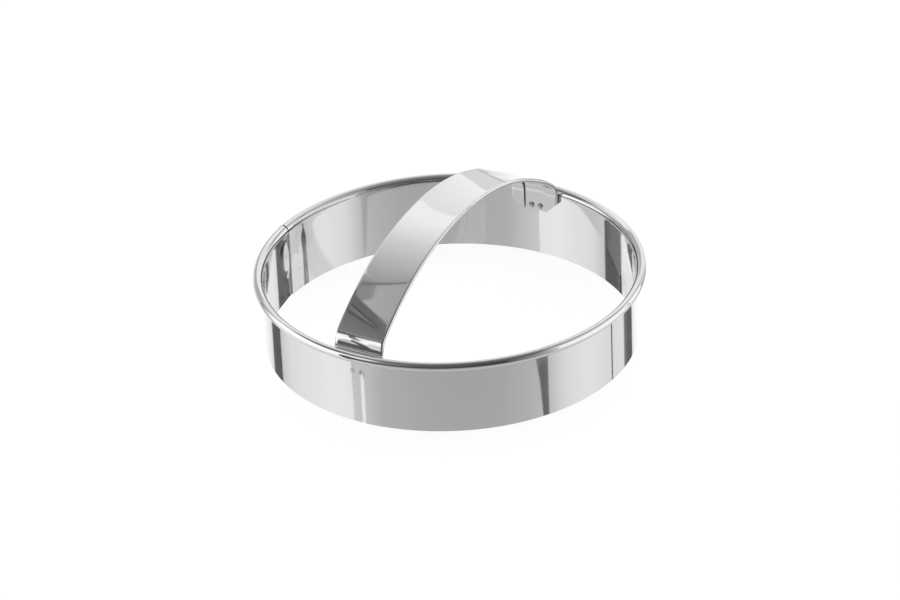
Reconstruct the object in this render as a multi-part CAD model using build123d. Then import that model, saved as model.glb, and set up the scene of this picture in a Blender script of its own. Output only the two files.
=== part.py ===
from build123d import *
import math
import os

# A round cookie cutter of bright sheet steel. A strip with a beaded upper edge is rolled into a
# ring and lap-welded, and a strap with hemmed edges is arched over it and welded inside the wall.
# Millimetres, +Z up. The origin is the centre of the cutting edge, and the handle runs along X.

# Band
WALL_DIAMETER = 100.0  # outside of the plain wall
BAND_SHEET = 0.4  # thickness of the strip
BAND_HEIGHT = 21.4  # from the cutting edge to the top of the bead
SHOULDER_RADIUS = 2.1  # inside of the wall, where it begins to turn over
SHOULDER_TURN = 70.0  # degrees that it turns through before the crown
CROWN_RADIUS = 0.9  # outside of the bead's top
CROWN_TURN = 50.0  # degrees from the shoulder to the curl
CURL_RADIUS = 1.35  # outside of the rest of the bead
CURL_TURN = 180.0  # degrees from the crown to the sheet's edge

# Lap seam
SEAM_ANGLE = 90.4  # degrees from +X to the inner end of the strip
LAP_LENGTH = 7.0  # overlap of the two ends along the wall
LAP_CLEARANCE = 0.05  # between the two layers
JOGGLE_RADIUS = 4.0  # inside of the bend at the seam, which ends the flat that sets the outer end out
BEAD_END_GAP = 0.3  # between the two ends of the bead
TONGUE_CLEARANCE = 0.2  # between the outer end and the bead above it

# Handle
STRAP_SHEET = 0.4  # thickness of the strip
STRAP_WIDTH = 14.3  # across the folded edges
HEM_WIDTH = 3.85  # from a folded edge to its raw edge
HEM_GAP = 0.35  # between the strap and its folded edge
FOLD_FLAT = 0.1  # straight part of a folded edge, between its two roundings
ARCH_RISE = 18.7  # from the corners of the arch to its crest
BEND_RADIUS = 7.0  # upper face, where the arch turns down into a tab
TAB_LENGTH = 8.4  # from a tab's lower edge to the corner of the arch
TAB_DROP = 7.7  # from the top of the bead down to a tab's lower edge
TAB_CLIP = 3.4  # height of the slanting lower corners
TAB_CLEARANCE = 0.05  # between a tab and the wall

# Spot welds
WELD_DIAMETER = 1.4
WELD_RIM = 0.1  # level ring round each electrode's mark
INNER_DISH = 0.15  # depth of the electrode's mark inside the ring
OUTER_DISH = 0.05  # and outside it
HANDLE_WELD_SPACING = 2.7  # between the two welds of one tab
HANDLE_WELD_INSET = 1.5  # from a tab's lower edge to its welds
SEAM_WELD_COUNT = 4
SEAM_WELD_LOW = 0.9  # from the cutting edge to the lowest seam weld
SEAM_WELD_HIGH = 1.7  # from the highest seam weld to the top of the overlap

# Allowance by which a cutting tool passes the face that it cuts
CUT_MARGIN = 1.0

# Places that follow from the sizes above
wall_outer = WALL_DIAMETER / 2
wall_inner = wall_outer - BAND_SHEET
crown_start = math.sin(math.radians(SHOULDER_TURN))
crown_end = math.sin(math.radians(SHOULDER_TURN + CROWN_TURN))
crown_height = BAND_HEIGHT - CROWN_RADIUS
shoulder_height = crown_height - (SHOULDER_RADIUS - CROWN_RADIUS) * crown_start
curl_height = crown_height - (CURL_RADIUS - CROWN_RADIUS) * crown_end
lap_step = BAND_SHEET + LAP_CLEARANCE
lap_inner = wall_inner + lap_step
lap_outer = wall_outer + lap_step
lap_angle = math.degrees(LAP_LENGTH / wall_outer)
bead_end_angle = math.degrees(BEAD_END_GAP / wall_inner)
tongue_top = curl_height - CURL_RADIUS - TONGUE_CLEARANCE

half_width = STRAP_WIDTH / 2
hem_thickness = 2 * STRAP_SHEET + HEM_GAP
fold_radius = (hem_thickness - FOLD_FLAT) / 2
tab_outer = wall_inner - TAB_CLEARANCE
tab_inner = tab_outer - STRAP_SHEET
tab_bottom = BAND_HEIGHT - TAB_DROP
corner_height = tab_bottom + TAB_LENGTH
crest_height = corner_height + ARCH_RISE
arch_radius = (tab_outer**2 + ARCH_RISE**2) / (2 * ARCH_RISE)


def radial(section, angle):
    """Stand a section, drawn as radius and height, at an angle round the ring."""
    return Rot(0, 0, angle) * (Plane.XZ * section)


def band_section(inner):
    """The strip cut across: a plain wall whose upper edge is curled outwards.

    The curl is three arcs, each tangent to the one before it, so a centre lies on the line from
    the last centre to the point where the two arcs meet.
    """
    outer = inner + BAND_SHEET
    centre = Vector(inner + SHOULDER_RADIUS, shoulder_height)
    facing = 180.0
    last_radius = SHOULDER_RADIUS
    outside, inside = [], []
    for radius, turn in (
        (SHOULDER_RADIUS, SHOULDER_TURN),
        (CROWN_RADIUS, CROWN_TURN),
        (CURL_RADIUS, CURL_TURN),
    ):
        centre += Vector(1, 0).rotate(Axis.Z, facing) * (last_radius - radius)
        outside.append(CenterArc(centre, radius, facing, -turn))
        inside.append(CenterArc(centre, radius - BAND_SHEET, facing, -turn))
        facing -= turn
        last_radius = radius
    outline = [
        Line((inner, 0), (inner, shoulder_height)),
        *outside,
        Line(outside[-1] @ 1, inside[-1] @ 1),
        *inside,
        Line((outer, shoulder_height), (outer, 0)),
        Line((outer, 0), (inner, 0)),
    ]
    return make_face(Curve(children=outline))


def tongue_section():
    """The outer end of the strip cut across, notched to lie below the bead."""
    blank = Rectangle(BAND_SHEET, tongue_top, align=(Align.MIN, Align.MIN))
    return Pos(lap_inner, 0) * blank


def make_band():
    """The strip rolled round once, from its inner end to the tongue that laps outside it.

    Seen from above it runs clockwise. Before the seam it leaves the circle on a flat, and then
    bends until it is tangent to a circle that is one sheet wider.
    """
    flat = math.sqrt((lap_inner - JOGGLE_RADIUS) ** 2 - (wall_inner - JOGGLE_RADIUS) ** 2)
    bend = math.degrees(math.atan2(flat, wall_inner - JOGGLE_RADIUS))
    bend_end = SEAM_ANGLE + bead_end_angle
    flat_start = bend_end + bend
    along = Vector(1, 0, 0).rotate(Axis.Z, flat_start - 90)
    outward = Vector(1, 0, 0).rotate(Axis.Z, flat_start)

    start = radial(band_section(wall_inner), flat_start)
    ring = revolve(start, Axis.Z, SEAM_ANGLE + 360 - flat_start)
    run = extrude(start, flat, dir=along)
    bend_centre = outward * (wall_inner - JOGGLE_RADIUS) + along * flat
    bend_axis = Axis(bend_centre, (0, 0, -1))
    curve = revolve(Pos(along * flat) * start, bend_axis, bend)
    tongue_start = SEAM_ANGLE - lap_angle
    tongue = revolve(radial(tongue_section(), tongue_start), Axis.Z, bend_end - tongue_start)
    return ring + run + curve + tongue


def strap_core(depth, width):
    """The space under a surface that lies a depth below the strap's upper face.

    The arch is a cylinder along Y and the tabs follow the round wall, so the bend between them
    is the fillet of the corner where the two cylinders meet.
    """
    arch = Rot(90, 0, 0) * Cylinder(arch_radius - depth, width)
    base = tab_bottom - depth
    post = Cylinder(tab_outer - depth, crest_height, align=(Align.CENTER, Align.CENTER, Align.MIN))
    core = Pos(0, 0, crest_height - arch_radius) * arch & Pos(0, 0, base) * post
    corners = core.edges().filter_by_position(Axis.Z, base + CUT_MARGIN, crest_height)
    corners = corners.filter_by(lambda edge: abs(edge.center().Y) < CUT_MARGIN)
    corners = corners.filter_by(lambda edge: abs(edge.center().X) > tab_outer / 2)
    return fillet(corners, BEND_RADIUS - depth)


def tab_clip():
    """The corner cut off each lower corner of a tab, through both ends of the strap at once."""
    raw_edge = half_width - HEM_WIDTH
    slope = TAB_CLIP / HEM_WIDTH
    low = tab_bottom - slope * CUT_MARGIN
    far = half_width + CUT_MARGIN
    corner = Polyline(
        (raw_edge - CUT_MARGIN, low),
        (far, low),
        (far, tab_bottom + slope * (far - raw_edge)),
        close=True,
    )
    return extrude(Plane.YZ * make_face(corner), tab_outer + CUT_MARGIN, both=True)


def make_strap():
    """The hemmed strap: edges folded under, ends bent down to lie on the wall.

    It begins as a slab as thick as the hem. The folds are its rounded edges, a slit parts each
    fold's two layers, and the middle is opened to leave one sheet.
    """
    slab = strap_core(0, STRAP_WIDTH) - strap_core(hem_thickness, STRAP_WIDTH)
    side_edges = slab.faces().filter_by(Axis.Y).edges()
    folds = side_edges.filter_by(lambda edge: edge.center().Z > tab_bottom + CUT_MARGIN)
    strap = fillet(folds, fold_radius)
    slit_width = STRAP_WIDTH - 2 * STRAP_SHEET
    strap -= strap_core(STRAP_SHEET, slit_width) - strap_core(STRAP_SHEET + HEM_GAP, slit_width)
    strap -= strap_core(STRAP_SHEET, STRAP_WIDTH - 2 * HEM_WIDTH)
    clip = tab_clip()
    strap -= clip
    strap -= mirror(clip, Plane.XZ)
    return strap


def weld_barrel(angle, height):
    """The round hole that a spot weld fills, through everything at that place on the wall."""
    length = lap_outer - tab_inner + 2 * CUT_MARGIN
    barrel = Rot(0, 90, 0) * Cylinder(WELD_DIAMETER / 2, length)
    return Rot(0, 0, angle) * Pos((lap_outer + tab_inner) / 2, 0, height) * barrel


def weld(angle, height, inner, outer):
    """One spot weld, a plug through two sheets, with both ends dished by the electrodes."""
    dish = WELD_DIAMETER / 2 - WELD_RIM
    plug = weld_barrel(0, 0) & (Cylinder(outer, BAND_HEIGHT) - Cylinder(inner, BAND_HEIGHT))
    for face, depth, side in ((inner, INNER_DISH, 1), (outer, OUTER_DISH, -1)):
        ball = (dish**2 + depth**2) / (2 * depth)
        plug -= Pos(face + side * (depth - ball), 0, 0) * Sphere(ball)
    return Rot(0, 0, angle) * Pos(0, 0, height) * plug


def handle_weld_places(end_angle):
    """Angle and height of the two welds in the tab at one end of the handle."""
    turn = math.degrees(math.asin(HANDLE_WELD_SPACING / 2 / wall_inner))
    height = tab_bottom + HANDLE_WELD_INSET
    return [(end_angle - turn, height), (end_angle + turn, height)]


def seam_weld_places():
    """Angle and height of the welds in the column down the middle of the lap."""
    highest = tongue_top - SEAM_WELD_HIGH
    pitch = (highest - SEAM_WELD_LOW) / (SEAM_WELD_COUNT - 1)
    angle = SEAM_ANGLE - lap_angle / 2
    return [(angle, SEAM_WELD_LOW + row * pitch) for row in range(SEAM_WELD_COUNT)]


far_places = handle_weld_places(0)
near_places = handle_weld_places(180)
seam_places = seam_weld_places()
far_welds = [weld(*place, tab_inner, wall_outer) for place in far_places]
near_welds = [weld(*place, tab_inner, wall_outer) for place in near_places]
seam_welds = [weld(*place, wall_inner, lap_outer) for place in seam_places]

strap = make_strap()
for place in far_places + near_places:
    strap -= weld_barrel(*place)

band = make_band()
for place in far_places + near_places + seam_places:
    band -= weld_barrel(*place)

nodes = {
    "cutter_band": band,
    "handle_strap": strap,
    "near_handle_welds": Compound(children=near_welds),
    "far_handle_welds": Compound(children=far_welds),
    "seam_welds": Compound(children=seam_welds),
}
os.makedirs("parts", exist_ok=True)
for name, shape in nodes.items():
    export_step(shape, f"parts/{name}.step")
    print(f"{name}: {len(shape.solids())} solids, {shape.volume:.2f} mm3")
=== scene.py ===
# %% [markdown]
# A round cookie cutter of bright sheet steel.
# The real one is two strips of tinned or stainless sheet: one rolled into a ring with a beaded
# upper edge, the other hemmed, arched over the ring and spot-welded inside it. This lesson takes
# the measured solids as a frame and dresses them: sheets with true thickness, weld marks, a
# mirror-bright finish, and the light tent in which such metal has to be photographed.

# %% Load the frame
import math

import bmesh
import bpy
from mathutils import Matrix, Vector


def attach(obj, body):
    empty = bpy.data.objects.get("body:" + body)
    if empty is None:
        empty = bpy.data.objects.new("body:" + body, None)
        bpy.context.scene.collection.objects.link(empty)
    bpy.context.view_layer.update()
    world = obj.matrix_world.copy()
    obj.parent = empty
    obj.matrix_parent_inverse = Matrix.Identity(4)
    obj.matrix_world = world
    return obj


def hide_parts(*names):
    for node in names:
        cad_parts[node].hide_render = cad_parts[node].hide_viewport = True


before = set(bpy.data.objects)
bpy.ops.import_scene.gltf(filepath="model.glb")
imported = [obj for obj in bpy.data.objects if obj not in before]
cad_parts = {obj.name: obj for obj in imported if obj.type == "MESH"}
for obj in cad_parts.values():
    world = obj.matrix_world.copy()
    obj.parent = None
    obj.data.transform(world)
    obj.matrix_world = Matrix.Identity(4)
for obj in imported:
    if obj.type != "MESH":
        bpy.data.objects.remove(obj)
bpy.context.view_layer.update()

MM = 0.001
print("nodes:", ", ".join(sorted(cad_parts)))

# %% [markdown]
# Two helpers serve every piece. The first turns a finished bmesh into an object that rides on the
# frame and stands for its CAD node. The second picks the vertices or edges out of what an operator
# returns, because operators give back one mixed list.

# %% Helpers for pieces
def finish_piece(name, mesh, *nodes, slot):
    """Make an object of a bmesh and let it replace its CAD nodes. The slot is not used."""
    data = bpy.data.meshes.new(name)
    for face in mesh.faces:
        face.smooth = True
    mesh.to_mesh(data)
    mesh.free()
    piece = bpy.data.objects.new(name, data)
    bpy.context.collection.objects.link(piece)
    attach(piece, "root")
    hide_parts(*nodes)
    print(name, len(data.polygons), "faces before modifiers")
    return piece


def only(kind, geometry):
    """The elements of one kind, such as bmesh.types.BMEdge, in an operator's mixed result."""
    return [item for item in geometry if isinstance(item, kind)]


# %% [markdown]
# The band is one strip of 0.4 mm sheet. Its upper edge is curled outwards into a bead, so the
# inside of the wall runs on, without a break, over the top of the bead. That makes one face of the
# sheet a single line in section: straight up the wall, then round the curl. Only that line is drawn
# here. The last vertex is spun about three centres in turn, a wide shoulder, a tight crown and the
# curl itself, which is just what a beading roll does.

# %% Section of the band
sheet = 0.4 * MM
wall_inner = 49.6 * MM  # radius of the inside of the wall
notch_height = 18.56 * MM  # the lapped end is cut away above this
shoulder_height = 19.372 * MM
curl = [(2.1 * MM, 70, 14), (0.9 * MM, 50, 8), (1.35 * MM, 180, 26)]  # radius, degrees and steps

band = bmesh.new()
heights = (0, notch_height, shoulder_height)
points = [band.verts.new((wall_inner, 0, height)) for height in heights]
lines = [band.edges.new(points[:2]), band.edges.new(points[1:])]
bmesh.ops.subdivide_edges(band, edges=lines[:1], cuts=13)
edge = max(band.verts, key=lambda vert: vert.co.z)
outward = Vector((1, 0, 0))  # from the sheet to the middle of the curl
for radius, degrees, steps in curl:
    turn = math.radians(degrees)
    middle = edge.co + outward * radius
    arc = bmesh.ops.spin(band, geom=[edge], cent=middle, axis=(0, 1, 0), angle=turn, steps=steps)
    edge = only(bmesh.types.BMVert, arc["geom_last"])[0]
    outward.rotate(Matrix.Rotation(turn, 3, "Y"))
print("section of the band:", len(band.edges), "edges")

# %% [markdown]
# The strip is rolled round once, nearly to where it started. That is one spin of the section about
# the axis of the ring. It is made in four stretches, with finer steps where the welds will leave
# ripples, because a ripple needs enough rows of vertices to bend.

# %% Roll the ring
lap_step = sheet + 0.05 * MM  # one sheet and the clearance of the lap
joggle_radius = 4 * MM
joggle_arm = wall_inner - joggle_radius
flat = math.sqrt((joggle_arm + lap_step) ** 2 - joggle_arm**2)
joggle_turn = math.atan2(flat, joggle_arm)
seam_angle = math.radians(90.4)  # from +X to the first end of the strip
bead_gap = 0.3 * MM / wall_inner  # angle between the two ends of the bead
flat_start = seam_angle + bead_gap + joggle_turn
ring_turn = math.degrees(seam_angle + math.tau - flat_start)
# Each stretch is given as the degrees where it starts and ends, and its steps.
stretches = [(0, 76, 110), (76, 92, 90), (92, 341, 360), (341, ring_turn, 60)]

first_section = section = band.edges[:]
for start, end, steps in stretches:
    turn = math.radians(end - start)
    ring = bmesh.ops.spin(band, geom=section, axis=(0, 0, 1), angle=turn, steps=steps)
    section = only(bmesh.types.BMEdge, ring["geom_last"])
print("ring turn in degrees:", round(ring_turn, 2))

# %% [markdown]
# Just before the seam the outer end leaves the circle on a short flat, bends again on a tighter
# radius, and so lies one sheet further out: a joggle. The bead stops there, and only the plain wall
# goes on as a tongue outside the first end. Each stretch is one spin or one extrusion of the same
# section, so the sheet stays one piece.

# %% Lap the ends
lap_turn = 7.0 * MM / (wall_inner + sheet)  # angle of the overlap
below_notch = notch_height + 0.01 * MM  # anything up to here is below the notch

run = bmesh.ops.extrude_edge_only(band, edges=first_section)["geom"]
run_ends = only(bmesh.types.BMVert, run)
bmesh.ops.translate(band, verts=run_ends, vec=(0, -flat, 0))
section = [edge for edge in only(bmesh.types.BMEdge, run) if set(edge.verts) <= set(run_ends)]
joggle = bmesh.ops.spin(
    band, geom=section, cent=(joggle_arm, -flat, 0), axis=(0, 0, -1), angle=joggle_turn, steps=10
)
runners = [
    edge
    for edge in band.edges
    if len(set(edge.verts) & set(run_ends)) == 1 and edge.calc_length() > flat / 2
]
bmesh.ops.subdivide_edges(band, edges=runners, cuts=31)
ends = only(bmesh.types.BMEdge, joggle["geom_last"])
section = [edge for edge in ends if all(vert.co.z < below_notch for vert in edge.verts)]
bmesh.ops.spin(band, geom=section, axis=(0, 0, -1), angle=bead_gap + lap_turn, steps=12)
print("lap in degrees:", round(math.degrees(lap_turn), 2))

# %% [markdown]
# The real flat is not quite flat. Half way up, the wall curves on, even a little inside the circle,
# until just before the seam, and the beads meet nearly in line although the walls below them
# overlap. So the vertices of the flat are pulled inwards: those of the bead almost back to the
# circle, those of the wall a little past it, but only at mid height. A small function makes such
# changes gentle, here and in later cells: it goes from 0 to 1 between two places.

# %% Ease the flat back to the circle
def fade(value, start, end):
    """A step that leaves 0 gently at start and reaches 1 gently at end."""
    share = min(1, max(0, (value - start) / (end - start)))
    return share * share * (3 - 2 * share)


hair = 0.001 * MM  # two places that are closer than this count as one
bead_pull, wall_pull = 0.85, 1.5  # 1 is just back to the circle
past_flat = 0.6 * MM  # the bead is eased this far beyond the flat
seam_fade = 0.45 * MM  # the wall is let go over this length before the seam
for vert in band.verts:
    along = -vert.co.y
    if vert.co.x > 0 and 0 < along < flat + past_flat:
        away = math.hypot(wall_inner, min(along, flat)) - wall_inner
        height = vert.co.z / MM
        mid_height = fade(height, 5, 9) * fade(height, 18, 14)
        before_seam = fade(along, flat, flat - seam_fade)
        on_wall = abs(vert.co.x - wall_inner) < hair
        if vert.co.z > below_notch:
            vert.co.x -= bead_pull * away
        elif on_wall:
            vert.co.x -= wall_pull * away * mid_height * before_seam
bmesh.ops.rotate(band, verts=band.verts, matrix=Matrix.Rotation(flat_start, 3, "Z"))
print("flat eased over", round(flat / MM, 2), "mm")

# %% [markdown]
# A ring rolled and welded by hand is never quite round. This one stands 0.4 mm proud on one side,
# which is too little to see as a shape, but it tightens the curve there, and so the outside of the
# wall mirrors a wider view.

# %% Out of round
bulge = 0.4 * MM
bulge_turn = math.radians(-59.6)  # from +X to the proud side
proud_side = Vector((math.cos(bulge_turn), math.sin(bulge_turn), 0))
for vert in band.verts:
    reach = vert.co.dot(proud_side) / wall_inner
    if reach > 0:
        vert.co += proud_side * bulge * reach**2
print("band bulged by", bulge / MM, "mm")

# %% [markdown]
# Spot welds shrink as they cool and pull the thin sheet into ripples. Beside the near handle welds
# a crease runs down to the cutting edge, an eighth of a millimetre high, steep on one side and
# easing out on the other. Along the lap the wall is wavy by about a hundredth. Neither can be felt,
# but a mirror shows both as bent lines.

# %% Ripples beside the welds
crease_rise = 0.125  # mm
trough_half = 1.5  # mm, half the width of the trough along the lap
wave_rise, wave_length = 0.006, 4  # mm
lap_start, lap_end = 80, math.degrees(seam_angle) + 0.01  # from +X


def crease(angle, height):
    """Rise in mm of the crease beside the near welds, at an angle in degrees and a height in mm."""
    across = fade(angle, 181.4, 183.4) * fade(angle, 195.5, 183.5)
    return crease_rise * across * fade(height, 17, 14)


def lap_waves(angle, across, height):
    """Rise in mm of the waves along the lap. They follow a trough that leans as it goes up."""
    trough = 6.75 - 1.45 * fade(height, 6, 17)
    off = across - trough
    tilt = 0.0202 * (trough - 5.95 - 0.031 * height)
    waves = tilt * off * math.exp(-((off / trough_half) ** 2))
    waves -= wave_rise * math.cos(math.tau * off / wave_length)
    return waves * fade(angle, lap_start, lap_start + 2) * fade(height, 18, 15)


for vert in band.verts:
    arm = vert.co.to_2d().to_3d()
    if vert.co.z > shoulder_height or arm.length > wall_inner + 0.3 * MM:
        continue  # the bead and the outer end of the lap stay as they are
    angle = math.degrees(math.atan2(vert.co.y, vert.co.x)) % 360
    ripple = crease(angle, vert.co.z / MM)
    if lap_start < angle < lap_end:
        ripple = lap_waves(angle, vert.co.x / MM, vert.co.z / MM)
    vert.co += arm.normalized() * ripple * MM
print("ripples of", crease_rise, "and", wave_rise, "mm pressed into the band")

# %% [markdown]
# The line drawn was the inside of the wall, so its faces should look at the ring's axis, and the
# sheet then gains its thickness behind them. Normals are made to agree first and turned over if
# they look outwards. Solidify gives the thickness and a small Bevel breaks the sheared edges, as
# deburring does: a perfectly sharp edge would never catch the light.

# %% Thickness and sheared edges of the band
def turn_faces(mesh, looks_right):
    """Make all faces agree with each other, and turn them over if a test of them says so."""
    bmesh.ops.remove_doubles(mesh, verts=mesh.verts, dist=hair)
    bmesh.ops.recalc_face_normals(mesh, faces=mesh.faces)
    if not looks_right(mesh.faces):
        bmesh.ops.reverse_faces(mesh, faces=mesh.faces)


def height_of(face):
    """Height of the middle of a face."""
    return face.calc_center_median().z


def wall_looks_inwards(faces):
    """True if a face at the foot of the wall looks at the axis of the ring."""
    lowest = min(faces, key=height_of)
    return lowest.normal.dot(lowest.calc_center_median()) < 0


def give_thickness(piece, edge_rounding):
    """Thicken a one-sided sheet behind its faces and round its sheared edges."""
    thick = piece.modifiers.new("sheet thickness", "SOLIDIFY")
    thick.thickness = sheet
    thick.offset = -1
    rounded = piece.modifiers.new("deburred edges", "BEVEL")
    rounded.width = edge_rounding
    rounded.segments = 2
    rounded.limit_method = "ANGLE"
    rounded.angle_limit = math.radians(50)
    rounded.harden_normals = True


turn_faces(band, wall_looks_inwards)
cutter_band = finish_piece("beaded_band", band, "cutter_band", slot="bright_steel")
give_thickness(cutter_band, 0.06 * MM)

# %% [markdown]
# The handle is a second strip. Both long edges are folded under as hems, which keeps them from
# cutting the fingers and stiffens the strap. Again one face of the sheet is a single line in
# section: from one raw edge, round its fold, over the top, round the other fold and back. The folds
# are half turns of a spun vertex.

# %% Section of the handle
crest_height = 40.8 * MM
half_width = 7.15 * MM
flap_width = 3.85 * MM
hem_thickness = 2 * sheet + 0.35 * MM  # two sheets and the air between them
fold_radius = hem_thickness / 2
fold_line = half_width - fold_radius
raw_edge = half_width - flap_width

strap = bmesh.new()
corners = [strap.verts.new((0, side * fold_line, crest_height)) for side in (-1, 1)]
top_line = strap.edges.new(corners)
bmesh.ops.subdivide_edges(strap, edges=[top_line], cuts=23)
for side in (-1, 1):
    corner = max(strap.verts, key=lambda vert: side * vert.co.y)
    middle = (0, side * fold_line, crest_height - fold_radius)
    fold = bmesh.ops.spin(
        strap, geom=[corner], cent=middle, axis=(-side, 0, 0), angle=math.pi, steps=24
    )
    folded_end = only(bmesh.types.BMVert, fold["geom_last"])[0]
    raw = strap.verts.new((0, side * raw_edge, crest_height - hem_thickness))
    flap = strap.edges.new((folded_end, raw))
    bmesh.ops.subdivide_edges(strap, edges=[flap], cuts=5)
print("section of the handle:", len(strap.edges), "edges")

# %% [markdown]
# From the crest the strap follows a wide arch, then a small bend, then runs straight down as a tab
# that lies on the inside of the wall. Spin, spin, extrude makes one half. The angles follow from
# the sizes: the small bend has to be tangent to both the arch and the wall.

# %% Arch, bend and tab of one half
tab_outer = 49.2 * MM  # the middle of the tab's outside, where only its folds touch the wall
tab_bottom = 13.7 * MM
arch_radius = 75.0 * MM
bend_radius = 7.0 * MM
bend_x = tab_outer - bend_radius
arch_middle = crest_height - arch_radius
bend_z = arch_middle + math.sqrt((arch_radius - bend_radius) ** 2 - bend_x**2)
arch_turn = math.atan2(bend_x, bend_z - arch_middle)
bend_turn = math.pi / 2 - arch_turn

# Each curve is given as its middle, its turn and its steps.
curves = [((0, 0, arch_middle), arch_turn, 96), ((bend_x, 0, bend_z), bend_turn, 56)]
section = strap.edges[:]
for middle, turn, steps in curves:
    curve = bmesh.ops.spin(
        strap, geom=section, cent=middle, axis=(0, 1, 0), angle=turn, steps=steps
    )
    section = only(bmesh.types.BMEdge, curve["geom_last"])
tab = bmesh.ops.extrude_edge_only(strap, edges=section)["geom"]
tab_ends = only(bmesh.types.BMVert, tab)
bmesh.ops.translate(strap, verts=tab_ends, vec=(0, 0, tab_bottom - bend_z))
uprights = [edge for edge in strap.edges if len(set(edge.verts) & set(tab_ends)) == 1]
bmesh.ops.subdivide_edges(strap, edges=uprights, cuts=8)
print("arch turns", round(math.degrees(arch_turn), 2), "degrees each way")
print("the tab starts at a height of", round(bend_z / MM, 2), "mm")

# %% [markdown]
# Two things remain before the half is mirrored. The lower corners of the tab are clipped at a
# slant, so its rows of vertices are raised towards the folds. And the tab is pressed against a
# round wall, so it curves with the wall and loses that curve over the bend above it. A strap that
# is bent one way gives way across its width too, so the curve is pushed in square to its face, and
# fades along the arch.

# %% Clip the tab, press it to the round wall, mirror the half
clip_slope = 3.4 * MM / flap_width  # height of the clipped corner over its width
hollow_rate = 0.003 / MM  # hollow over the square of the distance from the middle


def face_direction(place):
    """The way the strap's upper face looks: square to the arch, the bend or the tab."""
    if place.z < bend_z:
        return Vector((1, 0, 0))
    arm = Vector((place.x, 0, place.z - arch_middle))
    if arm.angle((0, 0, 1)) > arch_turn:
        arm = Vector((place.x - bend_x, 0, place.z - bend_z))
    return arm.normalized()


for vert in strap.verts:
    hollow = hollow_rate * vert.co.y**2
    share = fade(vert.co.x / MM, 28, 38)
    pressed = vert.co - face_direction(vert.co) * hollow * share
    if vert.co.z < bend_z:
        outside_flap = max(0, abs(vert.co.y) - raw_edge)
        pressed.z += clip_slope * outside_flap * (bend_z - vert.co.z) / (bend_z - tab_bottom)
    vert.co = pressed
half = strap.verts[:] + strap.edges[:] + strap.faces[:]
bmesh.ops.mirror(strap, geom=half, axis="X", merge_dist=hair)
print("strap mirrored:", len(strap.faces), "faces")

# %% [markdown]
# Folding the hems leaves the middle of the strap a little dished, more on the far side of the
# crest. It is only half a millimetre, but on a mirror such a dish turns every reflection, so it is
# worth making. The folds stay where they are and the middle sinks.

# %% Dish the strap across its width
dish_rate = 0.01 / MM
for vert in strap.verts:
    along = vert.co.x / MM
    share = fade(along, -20, 16) * fade(along, 38, 27)
    vert.co.z -= dish_rate * share * (half_width**2 - vert.co.y**2)
print("strap dished by", round(dish_rate * half_width**2 / MM, 2), "mm at most")

# %% [markdown]
# Bending the near end over has left a fine ridge across the bend, a tenth of a millimetre high. It
# is pushed up along a line between two points: the push dies away on both sides of the line as a
# bell curve does, and it weakens from the first point to the second.

# %% Ridge on the near bend
ridge_start = Vector((-47.8, 2.4, 23.3)) * MM
ridge_end = Vector((-48.3, -3.1, 22.6)) * MM
ridge_push = Vector((-0.93, 0, 0.36)) * 0.1 * MM  # outwards, square to the bend
ridge_half = 0.38 * MM  # half the width of the ridge
ridge_taper = 0.6  # share of the height that is lost from start to end
for vert in strap.verts:
    along = (vert.co.y - ridge_start.y) / (ridge_end.y - ridge_start.y)
    off = vert.co - ridge_start.lerp(ridge_end, along)
    across = math.hypot(off.x, off.z) / ridge_half
    share = fade(along, -0.12, 0.03) * (1 - ridge_taper * along) * fade(along, 1.15, 0.85)
    vert.co += ridge_push * share * math.exp(-(across**2))
print("ridge of", round((ridge_end - ridge_start).length / MM, 1), "mm on the near bend")

# %% [markdown]
# Both ends were welded a little askew. The near one sits about half a millimetre to one side, from
# its bend down. The far one is shifted too and a little high, touches the wall with one fold and
# stands off it with the other, and is slightly narrower on the side that touches. All this is one
# small function, because the weld marks have to follow the tabs.

# %% Set the tabs askew
near_shift, far_shift, far_lift = 0.45 * MM, 0.5 * MM, 0.4 * MM
far_slant = 0.06  # how far the far tab turns away from the wall, over its width
far_pinch = 0.06  # share of its width that the touching half loses


def set_askew(vert):
    """Move a vertex near the ends of the strap as the crooked welds do, most at the tabs."""
    along, up = vert.co.x / MM, vert.co.z / MM
    vert.co.y -= near_shift * fade(along, -36, -46) * fade(up, 25, 21)
    share = fade(along, 34, 44)
    vert.co.y -= min(0, vert.co.y) * far_pinch * share
    vert.co.x -= far_slant * share * (half_width + vert.co.y)
    vert.co.y -= far_shift * share
    vert.co.z += far_lift * share


for vert in strap.verts:
    set_askew(vert)
turn_faces(strap, lambda faces: max(faces, key=height_of).normal.z > 0)
handle_strap = finish_piece("hemmed_strap", strap, "handle_strap", slot="bright_steel")
give_thickness(handle_strap, 0.05 * MM)

# %% [markdown]
# Spot welds hold the sheets together. An electrode leaves a small crater on each side, a raised lip
# round a dished middle, and at the far tab it has left a button instead, which looks dark on its
# upper side. Each weld is a half-section of such a plug, spun once round its own axis, which points
# out from the middle of the ring. Most marks are a few hundredths of a millimetre high, because a
# mirror-bright surface shows a mark by its slope and not by its depth.

# %% Shape of a spot weld
# A mark is a line of points, each given in mm along the axis of the weld and out from that axis.
crater = [(-0.008, 0.0), (-0.012, 0.26), (-0.05, 0.46), (-0.055, 0.56), (0.03, 0.74)]
faint_crater = [(along / 3, radius) for along, radius in crater]
button = [(-0.3, 0.0), (-0.29, 0.22), (-0.24, 0.46), (-0.13, 0.7), (0.03, 0.9)]


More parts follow.
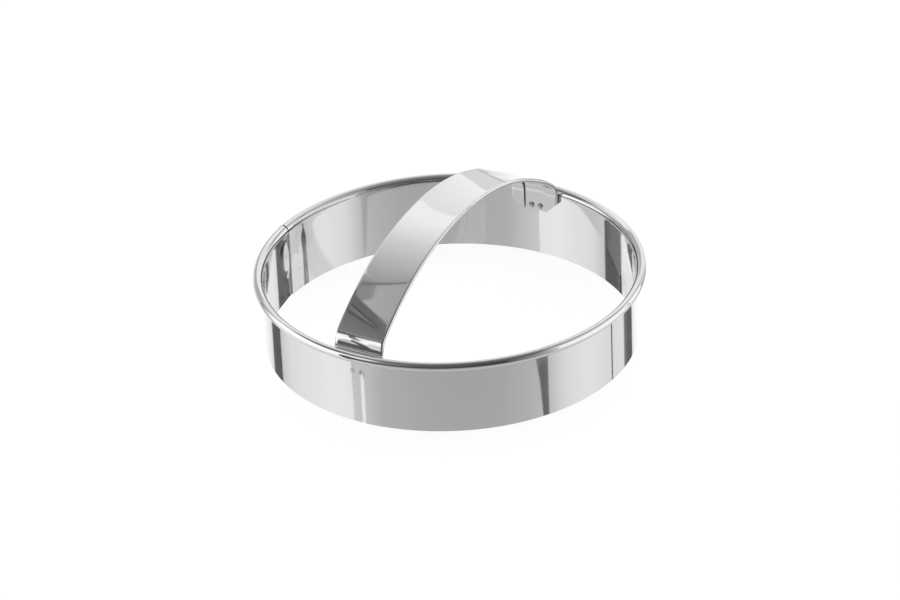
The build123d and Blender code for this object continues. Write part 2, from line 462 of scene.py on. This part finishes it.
def add_weld(mesh, angle, height, inner, outer, mark):
    """Spin one weld between two radii of the ring, with one kind of mark on its inside."""
    inside = [(inner + along * MM, radius * MM) for along, radius in mark]
    outside = [(outer - along * MM, radius * MM) for along, radius in reversed(faint_crater)]
    points = [mesh.verts.new((along, 0, radius)) for along, radius in inside + outside]
    line = [mesh.edges.new(pair) for pair in zip(points, points[1:])]
    bmesh.ops.spin(mesh, geom=line, axis=(1, 0, 0), angle=math.tau, steps=40, use_merge=True)
    weld = [vert for vert in mesh.verts if not vert.tag]
    bmesh.ops.remove_doubles(mesh, verts=weld, dist=hair / 2)
    weld = [vert for vert in mesh.verts if not vert.tag]
    place = Matrix.Rotation(angle, 4, "Z") @ Matrix.Translation((0, 0, height))
    bmesh.ops.transform(mesh, matrix=place, verts=weld)
    for vert in weld:
        vert.tag = True


print("a crater stands", -min(along for along, radius in crater), "mm proud of the sheet")

# %% [markdown]
# Two welds hold each tab, and a column of four closes the seam. The inside of a far weld follows
# its crooked tab while its outside stays on the wall, so there only the inner half is moved.

# %% Place the welds
def make_welds(name, node, places, inner, outer, mark):
    """All the welds of one CAD node as one piece."""
    mesh = bmesh.new()
    for angle, height in places:
        add_weld(mesh, angle, height, inner, outer, mark)
    for vert in mesh.verts:
        if vert.co.x < 0 or vert.co.to_2d().length < (inner + outer) / 2:
            set_askew(vert)
    bmesh.ops.recalc_face_normals(mesh, faces=mesh.faces)
    return finish_piece(name, mesh, node, slot="weld_steel")


wall_outer = wall_inner + sheet
tab_inner = tab_outer - sheet
half_spacing = math.asin(1.35 * MM / wall_inner)
handle_height = tab_bottom + 1.5 * MM
near_welds = make_welds(
    "near_weld_marks",
    "near_handle_welds",
    [(math.pi - half_spacing, handle_height), (math.pi + half_spacing, handle_height)],
    tab_inner,
    wall_outer,
    crater,
)
far_welds = make_welds(
    "far_weld_marks",
    "far_handle_welds",
    [(-half_spacing, handle_height), (half_spacing, handle_height)],
    tab_inner,
    wall_outer,
    button,
)
seam_heights = [0.9 * MM, 6.22 * MM, 11.54 * MM, 16.86 * MM]
seam_welds = make_welds(
    "seam_weld_marks",
    "seam_welds",
    [(seam_angle - lap_turn / 2, height) for height in seam_heights],
    wall_inner,
    wall_outer + lap_step,
    faint_crater,
)

# %% [markdown]
# Materials come next. Colours are written as sRGB hex, as a paint chart gives them, and one
# function turns them to the linear values that shaders work in. A second small function adds a node
# with its settings and links, which keeps each recipe short enough to read.

# %% Helpers for materials
def linear(hex_colour):
    """An sRGB hex colour as linear red, green, blue and alpha."""
    channels = [int(hex_colour[i : i + 2], 16) / 255 for i in (1, 3, 5)]
    return [c / 12.92 if c <= 0.04045 else ((c + 0.055) / 1.055) ** 2.4 for c in channels] + [1]


def add_node(tree, kind, inputs=None, **settings):
    """Add a node, set its properties, and fill its inputs with values or links."""
    node = tree.nodes.new(kind)
    for name, value in settings.items():
        setattr(node, name, value)
    for name, value in (inputs or {}).items():
        if isinstance(value, bpy.types.NodeSocket):
            tree.links.new(value, node.inputs[name])
        else:
            node.inputs[name].default_value = value
    return node


def new_material(name):
    """An empty node material, its tree and its output node."""
    material = bpy.data.materials.new(name)
    material.use_nodes = True
    material.node_tree.nodes.clear()
    return material, material.node_tree, add_node(material.node_tree, "ShaderNodeOutputMaterial")


print("mid grey in linear light:", round(linear("#808080")[0], 3))

# %% [markdown]
# The sheet is bright cold-rolled steel. Polished rolls press it almost to a mirror, but they also
# leave faint lines along the strip, and fingers and the forming tools leave patches that are a
# little duller. So the finish is a metal of low roughness whose roughness wanders in patches, with
# a very shallow bump stretched along the rolling direction: round the ring on the band, along its
# length on the handle. Real rolling lines are finer than a pixel, so they are drawn half a
# millimetre wide.

# %% Bright cold-rolled steel
# It gives the eye sharp, slightly greyed reflections that soften a little from patch to patch.
patch_size = 9 * MM
line_depth = 0.0003 * MM


def bright_steel(name, line_stretch):
    """Mirror-bright rolled sheet. The stretch is the size in mm of a rolling line on each axis."""
    material, tree, output = new_material(name)
    place = add_node(tree, "ShaderNodeTexCoord").outputs["Object"]
    scale = [1 / (size * MM) for size in line_stretch]
    along = add_node(tree, "ShaderNodeMapping", {"Vector": place, "Scale": scale}).outputs[0]
    lines = add_node(tree, "ShaderNodeTexNoise", {"Vector": along, "Scale": 1, "Detail": 3})
    patches = add_node(
        tree,
        "ShaderNodeTexNoise",
        {"Vector": place, "Scale": 1 / patch_size, "Detail": 4, "Roughness": 0.6},
    )
    dulled = add_node(
        tree,
        "ShaderNodeMapRange",
        {
            "Value": patches.outputs["Fac"],
            "From Min": 0.35,
            "From Max": 0.75,
            "To Min": 0.045,
            "To Max": 0.085,
        },
    )
    bump = add_node(
        tree,
        "ShaderNodeBump",
        {"Height": lines.outputs["Fac"], "Strength": 1, "Distance": line_depth},
    )
    metal = add_node(
        tree,
        "ShaderNodeBsdfPrincipled",
        {
            "Base Color": linear("#DADADA"),
            "Metallic": 1,
            "Roughness": dulled.outputs[0],
            "Normal": bump.outputs[0],
        },
    )
    tree.links.new(metal.outputs[0], output.inputs["Surface"])
    return material


band_steel = bright_steel("bright_rolled_steel_band", (40, 40, 0.5))
strap_steel = bright_steel("bright_rolled_steel_strap", (40, 0.5, 40))
cutter_band.data.materials.append(band_steel)
handle_strap.data.materials.append(strap_steel)
print("steel on", cutter_band.name, "and", handle_strap.name)

# %% [markdown]
# Weld metal has been melted and squeezed by copper electrodes. It is the same steel, but greyer and
# duller, with a fine grain. The seam was planished afterwards, which left its welds nearly as
# bright as the sheet.

# %% Pressed weld metal
# It gives the eye a greyer spot whose reflections are soft and a little broken.
grain_size = 0.35 * MM


def pressed_steel(name, colour, dullest, grain_height):
    """Weld metal of a colour, the roughness of its dullest grains and the grain's height in mm."""
    material, tree, output = new_material(name)
    place = add_node(tree, "ShaderNodeTexCoord").outputs["Object"]
    grain = add_node(
        tree, "ShaderNodeTexNoise", {"Vector": place, "Scale": 1 / grain_size, "Detail": 3}
    ).outputs["Fac"]
    dulled = add_node(
        tree,
        "ShaderNodeMapRange",
        {"Value": grain, "From Min": 0.3, "From Max": 0.7, "To Min": 0.06, "To Max": dullest},
    )
    bump = add_node(
        tree, "ShaderNodeBump", {"Height": grain, "Strength": 1, "Distance": grain_height * MM}
    )
    metal = add_node(
        tree,
        "ShaderNodeBsdfPrincipled",
        {
            "Base Color": linear(colour),
            "Metallic": 1,
            "Roughness": dulled.outputs[0],
            "Normal": bump.outputs[0],
        },
    )
    tree.links.new(metal.outputs[0], output.inputs["Surface"])
    return material


handle_weld_steel = pressed_steel("pressed_weld_steel_handle", "#ABAAA8", 0.24, 0.004)
for piece in (near_welds, far_welds):
    piece.data.materials.append(handle_weld_steel)
seam_weld_steel = pressed_steel("pressed_weld_steel_seam", "#D8D8D7", 0.1, 0.0005)
seam_welds.data.materials.append(seam_weld_steel)
print("weld metal on", near_welds.name, far_welds.name, "and", seam_welds.name)

# %% [markdown]
# The camera stands where the photograph was taken: a long lens, far off, looking down by thirty
# degrees across the handle. Its place is given by distance, direction and height angle, and it is
# turned a little about its own axis, as a hand-held or tripod camera often is.

# %% Camera
camera_turn = math.radians(-59.6)  # about +Z, from a camera that looks along +Y
camera_height = math.radians(30.402)
camera_roll = math.radians(-2.406)
camera_distance = 1120.8 * MM
aim = Vector((0, 0, 10.42 * MM))

back = Vector((0, -math.cos(camera_height), math.sin(camera_height)))
back.rotate(Matrix.Rotation(camera_turn, 3, "Z"))
camera_data = bpy.data.cameras.new("camera")
camera_data.lens = 166.3
camera_data.sensor_width = 36
camera_data.clip_start = 0.05
camera_data.clip_end = 20
camera = bpy.data.objects.new("camera", camera_data)
bpy.context.collection.objects.link(camera)
camera.location = back * camera_distance
aimed = (aim - camera.location).to_track_quat("-Z", "Y").to_matrix().to_4x4()
rolled = aimed @ Matrix.Rotation(camera_roll, 4, "Z")
camera.matrix_world = Matrix.Translation(camera.location) @ rolled
bpy.context.scene.camera = camera
print("camera at", [round(c / MM, 1) for c in camera.location], "mm")

# %% [markdown]
# Polished metal has no look of its own: it shows what stands round it. So the scene holds a light
# tent about half a metre from the object: sheets of lit cloth to the left, right and back, a grey
# cloth below, and a ceiling that fades towards the camera. The sheets reach below the table,
# because a wall seen from above mirrors what lies below the horizon. They are hidden from the
# camera, which sees only plain white. Each sheet is a grid whose vertices carry their own glow, so
# one material serves all of them. Their places are given in metres as the camera sees them: to the
# right, away and up.

# %% Cloth with a glow of its own
tent_turn = Matrix.Rotation(camera_turn, 4, "Z")
glowing_cloth, tree, output = new_material("glowing_cloth")
glowing_cloth.cycles.emission_sampling = "NONE"  # mirrors find the sheets without it
level = add_node(tree, "ShaderNodeAttribute", attribute_name="glow")
glow = add_node(tree, "ShaderNodeEmission", {"Strength": level.outputs["Fac"]})
tree.links.new(glow.outputs[0], output.inputs["Surface"])


def hang_cloth(name, *rows):
    """Stretch a sheet over rows of corners, each given as right, away, up and its glow."""
    mesh = bmesh.new()
    glow_layer = mesh.verts.layers.float.new("glow")
    bmesh.ops.create_grid(mesh, x_segments=len(rows[0]) - 1, y_segments=len(rows) - 1, size=1)
    corners = [corner for row in rows for corner in row]
    for vert, (right, away, up, level) in zip(mesh.verts, corners):
        vert.co = tent_turn @ Vector((right, away, up))
        vert[glow_layer] = level
    bmesh.ops.subdivide_edges(mesh, edges=mesh.edges[:], cuts=5, use_grid_fill=True)
    data = bpy.data.meshes.new(name)
    mesh.to_mesh(data)
    mesh.free()
    data.materials.append(glowing_cloth)
    cloth = bpy.data.objects.new(name, data)
    bpy.context.collection.objects.link(cloth)
    cloth.visible_camera = False
    print("hung", name)


def level_row(plan, up, level):
    """One row of corners over the points of a plan, all at one height and one glow."""
    return [(right, away, up, level) for right, away in plan]


def post_row(posts, up):
    """One row of corners over posts, each given as right, away and glow, all at one height."""
    return [(right, away, up, level) for right, away, level in posts]


# %% [markdown]
# The back of the tent glows almost evenly and falls off at both ends. A dark rail and a greyer
# valance cross it at the level of the table. Above them its left part is in shade and its right
# part is pale, and a bright strip runs along the top.

# %% Back of the tent
back_away = 0.49
roof_up = 0.62
back_posts = [  # right, glow
    (-0.40, 1.03),
    (-0.333, 1.2),
    (-0.25, 1.3),
    (0, 1.17),
    (0.21, 1.22),
    (0.29, 1.25),
    (0.385, 1.08),
]
rail_low, rail_high, valance_high, shade_high, strip_high = -0.022, -0.006, 0.1, 0.37, 0.47


def back_row(up, share):
    """One row of corners across the back, at a height and with a share of the full glow."""
    return [(right, back_away, up, level * share) for right, level in back_posts]


back_low = [(-0.8, 1), (-0.19, 1), (-0.1, 1.1), (-0.05, 1.0), (rail_low, 0.85)]  # up, share
hang_cloth("back_low", *(back_row(up, share) for up, share in back_low))
back_ends = [(-0.40, back_away), (0.385, back_away)]
back_left = [(-0.40, back_away), (-0.08, back_away)]
back_right = [(-0.08, back_away), (0.385, back_away)]
for name, plan, levels in (
    ("back_rail", back_ends, [(rail_low, 0.6), (rail_high, 0.6)]),
    ("back_valance", back_ends, [(rail_high, 0.87), (valance_high, 0.87)]),
    ("back_shade", back_left, [(valance_high, 0.58), (shade_high, 0.58)]),
    ("back_high", back_right, [(valance_high, 1.17), (shade_high, 1.02)]),
    ("back_top", back_ends, [(shade_high, 1.2), (strip_high, 1.2), (roof_up, 1.03)]),
):
    hang_cloth(name, *(level_row(plan, up, level) for up, level in levels))

# %% [markdown]
# The left sheet starts close to the object and runs off to the front. It is brighter above the
# table's level than below it, except at its near end, which is dim there. Its rows rise or sink
# with the distance from the object, so that the object sees each row at one angle of height.

# %% Left side of the tent
corner_far, left_near, left_far = (-0.398, 0.485), (-0.269, 0.173), (-0.551, -0.292)
left_plan = [left_near, (-0.306, 0.113), (-0.34, 0.057), (-0.438, -0.106), left_far]


def posts_of(plan, *levels):
    """The points of a plan, each with its glow."""
    return list(zip(plan, levels))


def rising_row(posts, rise):
    """One row over posts with a glow each, whose height grows with the distance from the object."""
    return [(*point, rise * math.hypot(*point), level) for point, level in posts]


left_low = posts_of(left_plan, 0.98, 0.96, 1.0, 1.13, 1.09)
left_high = posts_of(left_plan, 0.25, 1.3, 1.42, 1.42, 1.36)
left_top = posts_of(left_plan, 0.25, 1.3, 1.2, 0.85, 0.95)
hang_cloth(
    "left_side",
    rising_row(left_low, -1.7),
    rising_row(left_low, -0.5),
    rising_row(left_high, -0.02),
    rising_row(left_high, 0.63),
    rising_row(left_top[:3], 0.79)
    + rising_row(left_top[3:4], 0.74)
    + rising_row(left_top[4:], 0.99),
)

# %% [markdown]
# Further to the front the left sheet goes on as a bank of cloth that hangs above the table only. It
# is bright where it joins the left sheet and gets dark towards the camera.

# %% Front bank of the tent
front_plan = [left_far, (-0.56, -0.45), (-0.53, -0.6), (-0.3, -0.85), (0.3, -1.0)]
front_low = posts_of(front_plan, 0.65, 1.0, 0.5, 0.15, 0.08)
front_bank = posts_of(front_plan, 1.1, 0.78, 0.3, 0.15, 0.08)
front_top = posts_of(front_plan, 1.38, 1.3, 0.4, 0.15, 0.08)
hang_cloth(
    "left_front_bank",
    rising_row(front_low, 0.3),
    rising_row(front_low, 0.45),
    rising_row(front_bank, 0.55),
    rising_row(front_bank, 0.63),
    rising_row(front_top, 0.68),
    rising_row(front_top[:2], 0.99) + rising_row(front_top[2:], 0.79),
)

# %% [markdown]
# A corner sheet joins the near end of the left sheet to the back, from below the table to the
# ceiling. A strip of it below the table is black, like a gap to the dark room behind, and the metal
# mirrors that as a dark stripe.

# %% Left corner of the tent
corner_plan = [corner_far, left_near]


def corner_row(rise, far_level, near_level):
    """One row of the left corner, with a glow at its far and at its near end."""
    return rising_row(posts_of(corner_plan, far_level, near_level), rise)


hang_cloth("left_corner_low", corner_row(-1.5, 1.1, 1.05), corner_row(-0.66, 1.1, 1.05))
hang_cloth("left_corner_gap", corner_row(-0.66, 0.02, 0.0), corner_row(-0.45, 0.02, 0.0))
hang_cloth(
    "left_corner_high",
    corner_row(-0.45, 1.1, 1.05),
    corner_row(0.1, 0.75, 0.75),
    corner_row(0.16, 0.5, 0.5),
    corner_row(0.35, 0.5, 0.5),
    corner_row(0.45, 0.6, 0.6),
    corner_row(0.6, 0.6, 0.6),
    corner_row(0.7, 0.95, 0.95),
    level_row(corner_plan, roof_up, 0.95),
)

# %% [markdown]
# The right sheet stands nearly parallel to the view. Below the table it darkens towards the front.
# It is brightest at the table's level and dims towards the ceiling. A corner sheet with a black
# strip of its own joins it to the back, and a thin dark pole stands before it, which the outside of
# the wall mirrors as a line.

# %% Right side of the tent
right_posts = [  # right, away, glow
    (0.473, -0.303, 0.66),
    (0.48, -0.171, 1.03),
    (0.486, -0.018, 1.14),
    (0.492, 0.141, 1.0),
    (0.5, 0.376, 1.08),
]


def right_row(up, share, most):
    """One row along the right sheet, whose glow is mixed from the posts and one other level."""
    return [(right, away, up, level + share * (most - level)) for right, away, level in right_posts]


hang_cloth(
    "right_side",
    right_row(-0.9, 0, 1),
    right_row(-0.24, 0, 1),
    right_row(-0.14, 0.8, 1.36),
    right_row(0.09, 1, 1.36),
    right_row(0.15, 1, 1.2),
    right_row(0.3, 1, 1.05),
    right_row(0.42, 1, 0.5),
    right_row(roof_up, 1, 0.5),
)
right_corner = [(0.5, 0.376), (0.385, 0.49)]
gap_low, gap_high = -0.42, -0.29
corner_low = [(-0.9, 0.95), (gap_low, 0.95)]  # up, glow
corner_high = [(gap_high, 0.5), (-0.02, 0.5), (0.12, 1.0), (0.3, 0.6), (0.42, 0.6), (roof_up, 0.9)]
right_gap = [(0.5, 0.376, 0.2), (0.452, 0.424, 0.02), (0.385, 0.49, 0.02)]
pole = [(0.3642, 0.1169), (0.3598, 0.1236)]
pole_levels = [(-0.6, 0.12), (-0.2, 0.04), (0.3, 0.04)]
hang_cloth("right_corner_low", *(level_row(right_corner, up, level) for up, level in corner_low))
hang_cloth("right_corner_gap", post_row(right_gap, gap_low), post_row(right_gap, gap_high))
hang_cloth("right_corner_high", *(level_row(right_corner, up, level) for up, level in corner_high))
hang_cloth("right_pole", *(level_row(pole, up, level) for up, level in pole_levels))

# %% [markdown]
# Below the table lies a grey cloth. It ends in a slanting edge on the left and in a straight one,
# with a small step, on the right. It is palest under the object and at its sides, and darkens with
# the distance.

# %% Cloth below
below_rows = [-3, -1.2, -0.72, -0.5, -0.36, -0.3, -0.12, 0.1, 0.2]
below_columns = [0, 0.12, 0.25, 0.4, 0.55, 0.7, 0.85, 1]
below_up, below_right = -0.315, 0.46
below_reach = 1.2  # distance at which the glow has halved


def below_level(right, away):
    """Glow of the cloth below, which grows a little towards both sides of the view."""
    aside = min(68, abs(math.degrees(math.atan2(right, -away))))
    level = 0.852 + 0.0012 * aside
    distance = math.hypot(right, away)
    return level / (1 + (distance / below_reach) ** 2)


rows = []
for away in below_rows:
    left = -0.494 + (away + 0.2615) / 0.79
    right_edge = below_right - 0.45 * min(0.06, max(0, away + 0.36))
    places = [left + column * (right_edge - left) for column in below_columns]
    rows.append([(right, away, below_up, below_level(right, away)) for right in places])
hang_cloth("cloth_below", *rows)

# %% [markdown]
# The ceiling is lit from behind, so its back part fades evenly towards the camera. A dark seam
# parts it from the front part, which is darkest in the middle and towards the camera, with a small
# dim patch hung under it on the left. A grey slope runs from the ceiling's left edge down to the
# left sheet, and three thin bars hang there.

# %% Ceiling
seam_front, seam_back = 0.143, 0.152


def ceiling_row(away, *posts):
    """One row of corners across the ceiling, each given as right and its glow."""
    return [(right, away, roof_up, level) for right, level in posts]


hang_cloth(
    "ceiling_back",
    ceiling_row(seam_back, (-0.5, 0.3), (-0.25, 0.46), (0, 0.6), (0.5, 0.75)),
    ceiling_row(back_away, (-0.5, 0.5), (-0.12, 1.03), (0.15, 1.15), (0.5, 0.95)),
)
hang_cloth(
    "ceiling_seam",
    ceiling_row(seam_front, (-0.5, 0.18), (0.5, 0.18)),
    ceiling_row(seam_back, (-0.5, 0.18), (0.5, 0.18)),
)
hang_cloth(
    "ceiling_front",
    ceiling_row(-0.6, (-0.21, 0.13), (0, 0.13), (0.25, 0.13), (0.5, 0.13)),
    ceiling_row(-0.25, (-0.28, 0.2), (0, 0.16), (0.25, 0.17), (0.5, 0.2)),
    ceiling_row(0, (-0.33, 0.55), (0, 0.3), (0.25, 0.4), (0.5, 0.58)),
    ceiling_row(seam_front, (-0.36, 0.59), (0, 0.36), (0.25, 0.45), (0.5, 0.6)),
)
patch_up = roof_up - 0.002
hang_cloth(
    "ceiling_patch",
    level_row([(-0.37, 0.08), (-0.312, 0.08)], patch_up, 0.35),
    level_row([(-0.37, seam_front), (-0.276, seam_front)], patch_up, 0.35),
)
hang_cloth(
    "left_slope",
    [(*left_near, 0.25, 0.24), (*left_far, 0.617, 0.4)],
    [(-0.36, 0.15, roof_up, 0.16), (-0.27, -0.3, roof_up, 0.2)],
)
bar_plan = [(-0.325, 0.06), (-0.325, -0.06)]
bar_height = 0.013
bars = [(0.515, 0.564, 0.06), (0.502, 0.557, 0.34), (0.462, 0.55, 0.07)]  # up at both ends, glow
for *ends, bar_level in bars:
    lower = [(*point, up, bar_level) for point, up in zip(bar_plan, ends)]
    upper = [(right, away, up + bar_height, level) for right, away, up, level in lower]
    hang_cloth("roof_bar", lower, upper)

# %% [markdown]
# Outside the tent the studio is dark. One wide drum of dark cloth closes it off, a little paler on
# its left, with a dim top and a pale bottom. On the right, beside the open front of the tent, a
# sheet catches the light that falls out of it.

# %% Dark studio
studio_radius = 3
studio = []
for turn in range(0, 361, 10):
    aside = abs(turn - 180)  # from straight in front, in degrees
    paler = 0 if turn < 180 else 0.05 * fade(aside, 30, 60)
    right = studio_radius * math.sin(math.radians(turn))
    away = studio_radius * math.cos(math.radians(turn))
    studio.append((right, away, 0.08 + paler))
studio_plan = [(right, away) for right, away, level in studio]
hang_cloth(
    "studio_wall",
    level_row(studio_plan, -studio_radius, 0.03),
    level_row(studio_plan, -0.2, 0.05),
    post_row(studio, 0.2),
    post_row(studio, studio_radius),
)
spill = [(2.3, -1.1, 1.1), (2.07, -1.4, 0.62), (1.8, -1.74, 0.35), (1.25, -2.17, 0.12)]
hang_cloth("studio_spill", post_row(spill, -1.43), post_row(spill, 1.6))
ends = (-studio_radius, studio_radius)
for up, level in ((studio_radius, 0.2), (-studio_radius, 0.85)):
    hang_cloth(
        "studio_end", *(level_row([(right, away) for right in ends], up, level) for away in ends)
    )

# %% [markdown]
# The cutter stands on a plain white floor. To the camera the floor is nearly all its own white,
# plus a little real light, so that it keeps a trace of shadow. To mirror rays it is a plate of
# glass: most of them pass through and reach the tent below, and some bounce up from it. Inside the
# ring those meet the far wall and the handle, which is why parts of the inner wall look greyer.

# %% Floor
floor_mesh = bmesh.new()
bmesh.ops.create_circle(floor_mesh, cap_ends=True, segments=96, radius=4)
floor_data = bpy.data.meshes.new("floor")
floor_mesh.to_mesh(floor_data)
floor_mesh.free()
floor = bpy.data.objects.new("floor", floor_data)
bpy.context.collection.objects.link(floor)
floor.visible_shadow = False

own_share = 0.9  # how much of the white that the camera sees is the floor's own
bounce = 0.28  # share of the mirror rays that the plate sends back up
white_floor, tree, output = new_material("white_floor")
seen = add_node(tree, "ShaderNodeLightPath").outputs["Is Camera Ray"]
own_white = add_node(tree, "ShaderNodeMath", {0: seen, 1: own_share}, operation="MULTIPLY")
glow = add_node(tree, "ShaderNodeEmission", {"Strength": own_white.outputs[0]})
lit = add_node(tree, "ShaderNodeBsdfDiffuse", {"Color": linear("#8A8A8A")})
both = add_node(tree, "ShaderNodeAddShader", {0: glow.outputs[0], 1: lit.outputs[0]})
through = add_node(tree, "ShaderNodeBsdfTransparent")
gloss = add_node(tree, "ShaderNodeBsdfAnisotropic", {"Roughness": 0.0})
plate = add_node(
    tree, "ShaderNodeMixShader", {0: bounce, 1: through.outputs[0], 2: gloss.outputs[0]}
)
table = add_node(tree, "ShaderNodeMixShader", {0: seen, 1: plate.outputs[0], 2: both.outputs[0]})
tree.links.new(table.outputs[0], output.inputs["Surface"])
floor_data.materials.append(white_floor)
print("floor sends back", bounce, "of the mirror rays")

# %% [markdown]
# The world is white to the camera and to mirror rays, and a dim room to all other light, so that it
# does not flood the scene.

# %% World and view
room_strength = 0.14
world = bpy.data.worlds.new("studio")
world.use_nodes = True
tree = world.node_tree
tree.nodes.clear()
path = add_node(tree, "ShaderNodeLightPath").outputs
seen = path["Is Camera Ray"]
for kind in ("Is Glossy Ray", "Is Transmission Ray"):
    either = add_node(tree, "ShaderNodeMath", {0: seen, 1: path[kind]}, operation="MAXIMUM")
    seen = either.outputs[0]
pure_white = linear("#FFFFFF")
room = add_node(tree, "ShaderNodeBackground", {"Color": pure_white, "Strength": room_strength})
white = add_node(tree, "ShaderNodeBackground", {"Color": pure_white, "Strength": 1})
mixed = add_node(tree, "ShaderNodeMixShader", {0: seen, 1: room.outputs[0], 2: white.outputs[0]})
add_node(tree, "ShaderNodeOutputWorld", {"Surface": mixed.outputs[0]})
bpy.context.scene.world = world
bpy.context.scene.view_settings.view_transform = "Standard"
print("world is white to the camera and", room_strength, "to diffuse light")
